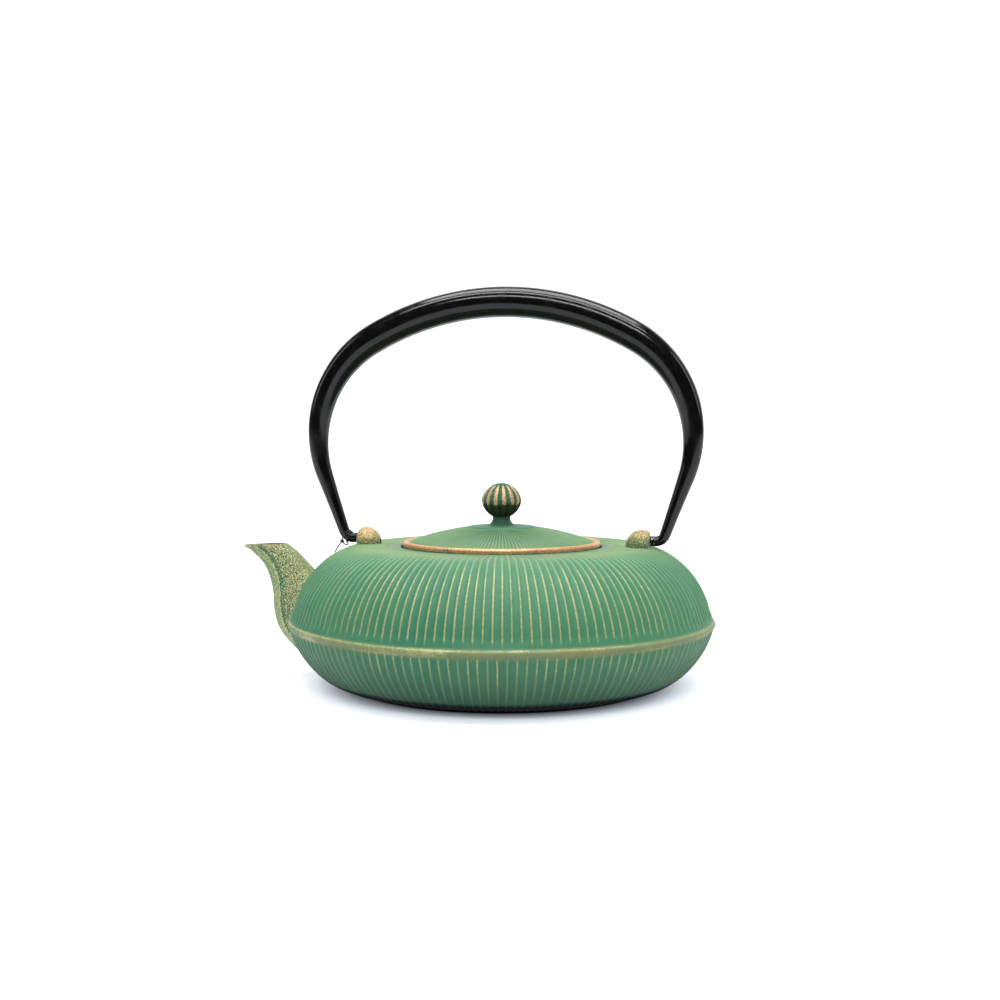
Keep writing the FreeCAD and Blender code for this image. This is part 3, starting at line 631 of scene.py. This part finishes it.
def spout():
    """The spout with its smooth front facets, the moulded ridge and groove, and the stippled sides."""
    def whole(values):
        """Values of the near side, repeated for the far side of the same ring."""
        return np.concatenate([values, values[1:-1][::-1]])

    def channel(at):
        *ends, front_half, bulge = between(CHANNEL, at)
        shares = spout_shares(CHANNEL_RIDGE)
        return spout_ring(ends, shares, spout_half(front_half, bulge, CHANNEL_RIDGE, shares))

    skin = Skin("gold", "crest", "haze", "olive", "foot")
    skin.ring(channel(0.0).mean(axis=0), 1)
    for at in np.linspace(0, 2, 14):
        skin.ring(channel(at), 1)
    top = len(SPOUT) - 1.0
    for at in np.concatenate([[top], np.linspace(4.985, 0, 96)]):
        on_rim = at == top
        *ends, front_half, bulge, ridge = between(SPOUT, at)
        # The front edge swells a little just under the rim.
        ends[2] += 0.81 * math.sin(math.pi * float(smoothstep(4.60, 4.97, at)))
        shares = spout_shares(ridge)
        half = spout_half(front_half, bulge, ridge, shares)
        from_ridge = (shares - ridge) * math.dist(ends[:2], ends[2:])
        lip = float(smoothstep(4.5, 4.95, at))
        raised = 0.42 * np.exp(-((from_ridge / 0.42) ** 2)) * (1 - 0.6 * lip)
        groove = np.exp(-(((from_ridge - 1.35) / 0.75) ** 2)) * (1 - lip)
        bevel = 0.25 if on_rim else 0
        half = np.maximum(half + raised - 0.32 * groove - bevel, 0)
        half[0] = half[-1] = 0
        points = spout_ring(ends, shares, half)
        rough = smoothstep(1.6, 2.6, from_ridge) * (1 - smoothstep(0.80, 0.95, shares))
        swell = 0.30 + 0.24 * np.sin(np.clip((shares - ridge - 0.1) / 0.6, 0, 1) * math.pi)
        gold = np.where(from_ridge > 0, swell * rough, 0.22)
        by_rim = 0.18 * float(smoothstep(4.72, 4.985, at))
        gold = gold * (1 - groove) + np.exp(-((from_ridge / 0.34) ** 2)) + by_rim
        # The back and the front facets are paler: washed-out paint with painted sheen.
        haze = np.where(shares > 0.8, 0.9 * smoothstep(0.76, 0.92, shares), 0)
        haze = np.maximum(haze, np.where(from_ridge < -0.5, 0.7, 0)) * (1 - groove)
        bumps = 0.16 * noise_field(points, 0.8, 2.0) + 0.10 * noise_field(points, 0.45, 6.0)
        points[:, 1] += np.sign(points[:, 1]) * bumps * whole(rough)
        olive = np.where(shares > 0.75, 0.7 * smoothstep(0.75, 0.95, shares), 0.0) + 0.35 * lip
        crest = np.where(from_ridge < -0.5, 0.45, 0.05)
        # The front facets get a pale painted highlight; the stippled side is darker, and the groove gets
        # painted shade.
        skin.ring(points, 1 if on_rim else 0, gold=whole(gold), haze=whole(haze), olive=whole(olive),
                  crest=whole(crest), foot=whole(0.18 * rough + 0.12 * groove))
    skin.ring(points.mean(axis=0), 0)
    piece = skin.piece("spout_skin", [stipple_paint, grey_enamel], "pot")
    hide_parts("pot_casting")


def lug(name, side, rounding):
    """A bullet-shaped lug lying on the deck, its flat end drilled for the bail's pin."""
    columns = even(72)
    end, edge = LUG_FACE - LUG_LENGTH, LUG_FACE - rounding
    nose = end + LUG_R
    rows = [(nose - LUG_R * math.cos(a), LUG_R * math.sin(a), LUG_AXIS)
            for a in np.linspace(0.06, math.pi / 2, 16)]
    rows += [(edge - (edge - nose) * (1 - k / 3), LUG_R, LUG_AXIS) for k in range(1, 4)]
    rows += [(edge + rounding * math.sin(a), LUG_R - rounding * (1 - math.cos(a)), LUG_AXIS)
             for a in np.linspace(0.15, math.pi / 2, 9)]
    rows += [(LUG_FACE, LUG_BORE_R + 0.25, PIVOT_Z), (LUG_FACE - 0.2, LUG_BORE_R, PIVOT_Z),
             (LUG_FACE - LUG_BORE_DEPTH, LUG_BORE_R, PIVOT_Z)]
    skin = Skin("gold", "crest", "haze", "olive")
    skin.ring((side * end, 0, LUG_AXIS), 0, gold=0.6)
    for x, radius, axis in rows:
        y, z = 0.93 * radius * np.sin(columns), axis + radius * np.cos(columns)
        points = np.column_stack([np.full(len(columns), side * x), y, z])
        if axis < PIVOT_Z:
            lumps = 0.20 * noise_field(points, 2.6, 4.0) + 0.10 * noise_field(points, 0.9, 6.0)
            points[:, 1:] += lumps[:, None] * np.column_stack([np.sin(columns), np.cos(columns)])
        # The top carries more gold and olive, and is paler: washed-out paint with painted sheen.
        top = smoothstep(59.4, 65.0, points[:, 2])
        patches = 0.25 * noise_field(points, 3.2, 8.0)
        gold = (0.38 + 0.32 * top if side < 0 else 0.06 + 0.34 * top) + patches
        # The bore, and the very tip of the nose, are bare iron.
        bare = radius < LUG_BORE_R + 0.1
        skin.ring(points, 1 if bare else 0, gold=gold, crest=0.1, haze=0.3 * top, olive=0.9 * top)
    skin.ring((side * (LUG_FACE - LUG_BORE_DEPTH), 0, PIVOT_Z), 1)
    piece = skin.piece(name, [lug_paint, foot_iron], "pot")
    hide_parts("pot_casting")


# ---------------------------------------------------------------- lid and knob


def lid():
    """The domed lid: radial lines, a rolled bronze bead, a disc and a neck, and a plain underside."""
    columns = LID_RIBS * 4
    rib = np.repeat(np.arange(LID_RIBS), 4)
    shape = np.tile([0.0, 0.4, 1.0, 0.4], LID_RIBS)
    angles = even(columns) + FRONT - LID_TURN
    per_rib = np.array([rng.uniform(-1, 1) for _ in range(LID_RIBS)])[rib]
    coarse = even(LID_RIBS) + FRONT - LID_TURN
    skin = Skin("gold", "crest", "haze", "olive", "foot")
    under = outline((KNOB_RIVET_R, 63.4), line((8, 63.4), (33.4, 58.9), 5), (33.4, 52.9), (33.8, 52.5),
                    (35.3, 52.5), (35.7, 52.9), (35.7, 57.5), (42.2, 57.5), (42.5, 57.7))
    for radius, height in under:
        skin.ring(turned_ring(radius, height, coarse), 1)

    dome_r, dome_z = LID_DOME
    dome = [(dome_r * math.sin(a), dome_z + dome_r * math.cos(a))
            for a in np.linspace(math.asin(39.4 / dome_r), math.asin(14.2 / dome_r), 22)]
    rows = outline(line((42.6, 57.9), (42.6, 59.7), 4),
                   arc_between((42.6, 59.7), (39.9, 60.3), 1.4, "right", 12), dome, (14.0, 67.1))
    normals = outward(rows)
    for (radius, height), normal in zip(rows, normals):
        where = turned_ring(radius, height, angles)
        on_bead = float(radius > 39.7)
        edge = float(smoothstep(14.2, 16.5, radius) * (1 - smoothstep(37.8, 39.2, radius)))
        lines = shape * edge * (0.85 + 0.2 * noise_field(where, 5.0, 1.0))
        flute = on_bead * 0.10 * (shape - 0.5) * float(smoothstep(59.0, 59.8, height))
        cast = 0.04 * noise_field(where, 2.4, 3.0) + 0.05 * on_bead * noise_field(where, 4.5, 7.0)
        push = RIB_RELIEF * lines - 0.12 + flute + cast
        points = turned_ring(radius + push * normal[0], height + push * normal[1], angles)
        outer = float(smoothstep(26.0, 38.0, radius))
        bronze = on_bead * (0.75 + 0.3 * noise_field(where, 6.0, 6.0)) * float(smoothstep(58.4, 59.4, height))
        gold = lines * (0.27 + 0.27 * outer + 0.12 * per_rib) + bronze
        # The dome pales towards its rim with painted sheen on washed-out paint; the lines get a pale painted
        # highlight and the gaps between them painted shade, deeper towards the middle.
        shade = 0.32 + 0.15 * float(smoothstep(30.0, 16.0, radius))
        hollow = float(smoothstep(39.9, 39.2, radius)) * float(smoothstep(37.6, 38.6, radius))
        skin.ring(points, 2 if on_bead else 0, gold=gold, crest=lines * 1.9,
                  haze=(0.2 + 0.35 * outer) * (1 - on_bead), olive=0.3 * hollow,
                  foot=shade * (1 - shape) * edge)

    neck = outline((13.6, 67.35), line((13.2, 67.3), (6.3, 67.7), 5),
                   arc_between((6.3, 67.7), (3.8, 70.3), 3.4, "left", 8),
                   (3.8, KNOB_FOOT_Z), (KNOB_RIVET_R, KNOB_FOOT_Z))
    for radius, height in neck:
        # Painted shade on the neck under the knob, deeper towards the middle.
        dark = float(smoothstep(9.0, 4.5, radius))
        skin.ring(turned_ring(radius, height, coarse), 0, haze=0.1, foot=0.4 * dark, gold=0.05)
    skin.close(1)
    piece = skin.piece("lid_shell", [pot_paint, foot_iron, bronze_paint], "lid")
    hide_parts("lid_casting")


def knob():
    """The round knob with broad rounded ribs that narrow towards its top."""
    columns = KNOB_RIBS * 14
    angles = even(columns)
    turn = (angles * KNOB_RIBS / (2 * math.pi) + 0.35) % 1.0 - 0.5
    rib = np.clip(1 - (np.abs(turn) / 0.40) ** 3.2, 0, 1)
    (low_r, low_z), (high_r, high_z) = KNOB_LOW, KNOB_HIGH
    low = [(low_r * math.sin(a), low_z - low_r * math.cos(a)) for a in np.linspace(0.47, 1.50, 18)]
    high = [(high_r * math.cos(a), high_z + high_r * math.sin(a)) for a in np.linspace(0.19, 1.54, 26)]
    rows = outline(low, high)
    normals = outward(rows)
    skin = Skin("gold", "foot")
    skin.ring((0, 0, KNOB_BORE_Z), 1)
    for radius, height in ((KNOB_RIVET_R, KNOB_BORE_Z), (KNOB_RIVET_R, KNOB_FOOT_Z), (3.7, KNOB_FOOT_Z)):
        skin.ring(turned_ring(radius, height, angles), 1)
    for (radius, height), normal in zip(rows, normals):
        fade = float(smoothstep(72.5, 75.5, height)) * float(smoothstep(0.6, 4.5, radius))
        where = turned_ring(radius, height, angles)
        push = 0.62 * (rib - 1) * fade + 0.05 * noise_field(where, 1.6, 2.0)
        points = turned_ring(radius + push * normal[0], height + push * normal[1], angles)
        ragged = 76.6 + 1.6 * noise_field(where, 2.6, 3.0)
        amount = smoothstep(-0.6, 1.2, height - ragged) * (1 - smoothstep(84.2, 85.4, height))
        gold = rib**3 * amount * (0.86 + 0.3 * noise_field(where, 2.2, 8.0))
        brown = 1 - smoothstep(-1.0, 1.5, height - ragged)
        # Brown paint below the ragged edge of the gold, and painted shade in the grooves between the ribs.
        skin.ring(points, 0, gold=gold, foot=np.clip(0.8 * brown + 0.25 * (1 - rib), 0, 1))
    skin.ring((0, 0, KNOB_TOP_Z), 0)
    piece = skin.piece("knob_ribbed", [knob_paint, foot_iron], "lid")
    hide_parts("lid_knob")


# ---------------------------------------------------------------- bail


def bail_centreline():
    """Stations of the +X half from the crown to the pin's end, as (x, z, turn), and the elbow's centre."""
    stations = []
    crown_z = BAIL_TOP - BAIL_CROWN_BEND
    for turn in np.linspace(0, BAIL_CROWN_TURN, 38):
        stations.append((BAIL_CROWN_BEND * math.sin(turn), crown_z + BAIL_CROWN_BEND * math.cos(turn), turn))
    step_in = BAIL_CROWN_BEND - BAIL_SHOULDER_BEND
    shoulder_x = step_in * math.sin(BAIL_CROWN_TURN)
    shoulder_z = crown_z + step_in * math.cos(BAIL_CROWN_TURN)
    for turn in np.linspace(BAIL_CROWN_TURN, BAIL_LEG_TURN, 50)[1:]:
        stations.append((shoulder_x + BAIL_SHOULDER_BEND * math.sin(turn),
                         shoulder_z + BAIL_SHOULDER_BEND * math.cos(turn), turn))
    top_x, top_z, _ = stations[-1]
    foot_z = PIVOT_Z + PIN_BEND + PIN_BEND * math.cos(BAIL_LEG_TURN)
    foot_x = top_x + (top_z - foot_z) / math.tan(BAIL_LEG_TURN)
    for share in np.linspace(0, 1, 19)[1:]:
        stations.append((top_x + (foot_x - top_x) * share, top_z + (foot_z - top_z) * share, BAIL_LEG_TURN))
    bend_x, bend_z = foot_x - PIN_BEND * math.sin(BAIL_LEG_TURN), PIVOT_Z + PIN_BEND
    for turn in np.linspace(BAIL_LEG_TURN, math.pi, 14)[1:]:
        stations.append((bend_x + PIN_BEND * math.sin(turn), bend_z + PIN_BEND * math.cos(turn), turn))
    for share in np.linspace(0, 1, 6)[1:]:
        stations.append((bend_x + (PIN_END_X - bend_x) * share, PIVOT_Z, math.pi))
    return stations, (bend_x, bend_z)


def bail_diameters(stations):
    """The bail's diameter at each station, eased from one to the next."""
    by_turn = np.array(BAIL_TURN_DIAMETERS)
    by_height = np.array(BAIL_LEG_DIAMETERS)[::-1]
    sizes = []
    for _, z, turn in stations:
        if turn < BAIL_LEG_TURN - 1e-6:
            sizes.append(np.interp(math.degrees(turn), by_turn[:, 0], by_turn[:, 1]))
        elif turn <= BAIL_LEG_TURN + 1e-6:
            heights = np.append(by_height[:, 0], BAIL_LEG_TOP)
            sizes.append(np.interp(z, heights, np.append(by_height[:, 1], by_turn[-1, 1])))
        else:
            sizes.append(PIN_DIAMETER + 0.2 * float(smoothstep(PIVOT_Z, PIVOT_Z + 3, z)))
    sizes = np.array(sizes)
    for _ in range(6):
        sizes[1:-1] = (sizes[:-2] + 2 * sizes[1:-1] + sizes[2:]) / 4
    return sizes


def bail():
    """The bail rolled from one sheet into a C-section, its seam on the inner side down to the pins."""
    half, _ = bail_centreline()
    sizes = bail_diameters(half)
    line_up = [(-x, z, -turn, d) for (x, z, turn), d in list(zip(half, sizes))[:0:-1]]
    line_up += [(x, z, turn, d) for (x, z, turn), d in zip(half, sizes)]
    around = 44
    points, chips = [], []
    for x, z, turn, diameter in line_up:
        out, across = np.array([math.sin(turn), 0, math.cos(turn)]), np.array([0, 1, 0])
        loop = []
        for radius, way in ((diameter / 2, 1), (diameter / 2 - BAIL_SHEET, -1)):
            gap = math.asin(BAIL_SEAM / 2 / radius)
            spread = np.linspace(gap, 2 * math.pi - gap, around)[::way]
            way_out = -np.cos(spread)[:, None] * out + np.sin(spread)[:, None] * across
            loop.append(np.array([x, 0, z]) + radius * way_out)
        points.append(np.concatenate(loop))
        worn = max(math.exp(-((x - cx) ** 2 + (z - cz) ** 2) / 6.0) for cx, cz in BAIL_CHIPS)
        chips += [worn] * (2 * around)
    # Each ring runs along the outer face and back along the inner one; both ends are closed.
    rings, count = len(points), 2 * around
    faces = []
    for ring in range(rings - 1):
        for k in range(count):
            a, b = ring * count + k, ring * count + (k + 1) % count
            faces.append((a, b, b + count, a + count))
    for first in (0, (rings - 1) * count):
        for k in range(around - 1):
            faces.append((first + k, first + k + 1, first + count - 2 - k, first + count - 1 - k))
    skin = Skin("chip")
    skin.points, skin.faces, skin.slots = points, faces, [0] * len(faces)
    skin.fields["chip"] = [np.array(chips)]
    piece = skin.piece("bail_rolled", [black_lacquer], "bail")
    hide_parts("bail_tube")


# ---------------------------------------------------------------- thread

THREAD_D = 0.56
THREAD_TURNS = 2.6
THREAD_GAP = 0.12
THREAD_ROUTE = ((-68.3, -3.15, 61.3), (-67.6, -2.9, 59.6), (-67.9, -1.7, 58.4), (-69.0, -1.3, 58.3),
                (-69.8, -2.0, 59.2), (-70.2, -2.65, 60.3), (-71.5, -1.9, 58.7), (-72.8, -1.1, 57.0),
                (-74.1, -0.2, 55.1))
THREAD_KNOT = (-70.2, -2.65, 60.1)
THREAD_KNOT_R = 0.9


def thread_points():
    """The thread's way: wound round the spout-side elbow, a drooping loop, the knot and the cut tail."""
    _, (bend_x, bend_z) = bail_centreline()
    winding = PIN_DIAMETER / 2 + THREAD_GAP + THREAD_D / 2
    pitch = math.radians(20.0)
    middle = math.radians(144.2)
    last = -math.pi / 2
    first = last - THREAD_TURNS * 2 * math.pi
    steps = round(THREAD_TURNS * 16)
    points = []
    for k in range(steps + 1):
        around = first + (last - first) * k / steps
        turn = middle - pitch * THREAD_TURNS * (k / steps - 0.5)
        reach = PIN_BEND + winding * math.cos(around)
        x, z = bend_x + reach * math.sin(turn), bend_z + reach * math.cos(turn)
        points.append((-x, winding * math.sin(around), z))
    return points + list(THREAD_ROUTE)


def thread():
    """The black thread as a cord, and its knot, a ball with the swirl of a wound thread."""
    points = thread_points()
    curve = bpy.data.curves.new("tag_string", "CURVE")
    curve.dimensions = "3D"
    curve.bevel_depth = THREAD_D / 2 * MM
    curve.bevel_resolution = 4
    curve.use_fill_caps = True
    curve.resolution_u = 6
    spline = curve.splines.new("NURBS")
    spline.points.add(len(points) - 1)
    for point, place in zip(spline.points, points):
        point.co = (*(c * MM for c in place), 1.0)
    spline.order_u = 3
    spline.use_endpoint_u = True
    string = bpy.data.objects.new("tag_string", curve)
    bpy.context.scene.collection.objects.link(string)
    curve.materials.append(black_thread)
    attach(string, "bail")
    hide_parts("tag_thread", "tag_thread_coil")

    bpy.ops.mesh.primitive_uv_sphere_add(segments=32, ring_count=20, radius=THREAD_KNOT_R * MM)
    knot = bpy.context.object
    knot.name = "tag_string_knot"
    for vertex in knot.data.vertices:
        at = vertex.co / (THREAD_KNOT_R * MM)
        swirl = math.sin(5 * math.atan2(at.y, at.x) + 4 * at.z)
        vertex.co = vertex.co * (0.88 + 0.10 * swirl) + Vector(THREAD_KNOT) * MM
    knot.data.shade_smooth()
    knot.data.materials.append(black_thread)
    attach(knot, "bail")
    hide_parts("tag_thread_knot")


# ---------------------------------------------------------------- studio


def point_at(thing, target):
    thing.rotation_euler = (Vector(target) - thing.location).to_track_quat("-Z", "Y").to_euler()


def studio():
    """The white sweep, the lights and the camera, in metres."""
    half_width, near_edge, bend_y, bend_r = 3.2, -0.56, 0.9, 0.8
    scene = bpy.context.scene
    scene.view_settings.view_transform = "Standard"
    world = bpy.data.worlds.new("dim_room")
    world.use_nodes = True
    world.node_tree.nodes["Background"].inputs["Color"].default_value = (1, 1, 1, 1)
    world.node_tree.nodes["Background"].inputs["Strength"].default_value = 0.42
    scene.world = world
    world.cycles_visibility.glossy = False

    # A white sweep: floor, a bend and a wall behind, bright enough to show pure white.
    sweep = [(near_edge, 0.0), (bend_y, 0.0)]
    sweep += [(bend_y + bend_r * math.sin(a), bend_r - bend_r * math.cos(a))
              for a in np.linspace(0.1, math.pi / 2, 12)]
    sweep.append((bend_y + bend_r, 2.6))
    mesh = bpy.data.meshes.new("sweep")
    mesh.from_pydata([(x, y, z) for y, z in sweep for x in (-half_width, half_width)], [],
                     [(2 * k, 2 * k + 1, 2 * k + 3, 2 * k + 2) for k in range(len(sweep) - 1)])
    mesh.shade_smooth()
    mesh.materials.append(white_floor_painted_shadow())
    floor = bpy.data.objects.new("sweep", mesh)
    scene.collection.objects.link(floor)

    # More floor towards the front, kept out of the lacquer's reflections.
    mesh = bpy.data.meshes.new("apron")
    mesh.from_pydata([(x, y, 0) for y in (-half_width, near_edge) for x in (-half_width, half_width)], [],
                     [(0, 1, 3, 2)])
    mesh.materials.append(floor.data.materials[0])
    apron = bpy.data.objects.new("apron", mesh)
    apron.visible_glossy = False
    scene.collection.objects.link(apron)

    # Each light's name, place, size, watts, target, and whether the lacquer mirrors it.
    for name, place, size, power, target, glossy in (
        ("overhead", (0.0, 0.1, 1.2), (1.1, 0.5), 16.5, (0, 0, 0.05), True),
        ("strip_high", (0.0, -0.40, 1.2), (1.4, 0.16), 11.0, (0, 0, 0.10), True),
        ("strip_front", (0.1, -0.95, 0.97), (1.0, 0.16), 9.0, (0, 0, 0.10), True),
        ("front", (0.2, -1.7, 1.1), (1.4, 0.8), 7.0, (0, 0, 0.06), False),
        ("left", (-1.5, -0.2, 0.8), (0.35, 1.0), 3.5, (0, 0, 0.08), True),
        ("right", (1.5, 0.1, 0.8), (0.3, 1.0), 4.5, (0, 0, 0.08), True),
        ("wall_left", (-1.5, 0.9, 1.6), (0.6, 1.2), 22.0, (0, 1.7, 0.7), False),
        ("wall_right", (1.5, 0.9, 1.6), (0.6, 1.2), 22.0, (0, 1.7, 0.7), False),
    ):
        light = bpy.data.lights.new(name, "AREA")
        light.shape = "RECTANGLE"
        light.size, light.size_y = size
        light.energy = power
        lamp = bpy.data.objects.new(name, light)
        scene.collection.objects.link(lamp)
        lamp.location = place
        lamp.visible_glossy = glossy
        point_at(lamp, target)

    lens = bpy.data.cameras.new("camera")
    lens.lens, lens.sensor_width = 45.0, 36.0
    camera = bpy.data.objects.new("camera", lens)
    scene.collection.objects.link(camera)
    distance, height = 0.537, 0.1055
    azimuth, pitch, aside = (math.radians(degrees) for degrees in (9.0, 2.885, 0.07))
    camera.location = (distance * math.sin(azimuth), -distance * math.cos(azimuth), height)
    camera.rotation_euler = (math.pi / 2 - pitch, 0, azimuth + aside)
    lens.clip_start = 0.01
    scene.camera = camera


# ---------------------------------------------------------------- all of it


def dress(material, *nodes):
    """Gives the CAD nodes that stay in the picture their material."""
    for node in nodes:
        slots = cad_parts[node].data.materials
        slots.clear()
        slots.append(material)


pot_paint = worn_paint("pot_paint")
stipple_paint = worn_paint("stipple_paint", gold=srgb(172, 164, 116), speckle=1.4, grain=0.48, depth=0.25)
lug_paint = worn_paint("lug_paint", gold=srgb(186, 156, 108), speckle=1.3, grain=0.5, depth=0.16, metal=0.4)
bronze_paint = worn_paint("bronze_paint", gold=BRONZE, speckle=0.15, metal=0.55)
knob_paint = worn_paint("knob_paint", gold=srgb(182, 146, 108), speckle=0.45, grain=0.6, metal=0.4,
                        dark=(0.020, 0.018, 0.008))
grey_enamel = enamel()
foot_iron = bare_iron()
black_lacquer = lacquer()
black_thread = thread_fibre()
stainless = steel("stainless", 0.4)
steel_mesh = woven_mesh()

studio()
pot()
spout()
lug("lug_spout_side", -1, 3.0)
lug("lug_rear_side", 1, 1.5)
lid()
knob()
bail()
thread()
dress(stainless, "basket_rim", "basket_bottom_band", "knob_rivet", "knob_washer")
dress(steel_mesh, "basket_mesh_wall", "basket_mesh_floor")
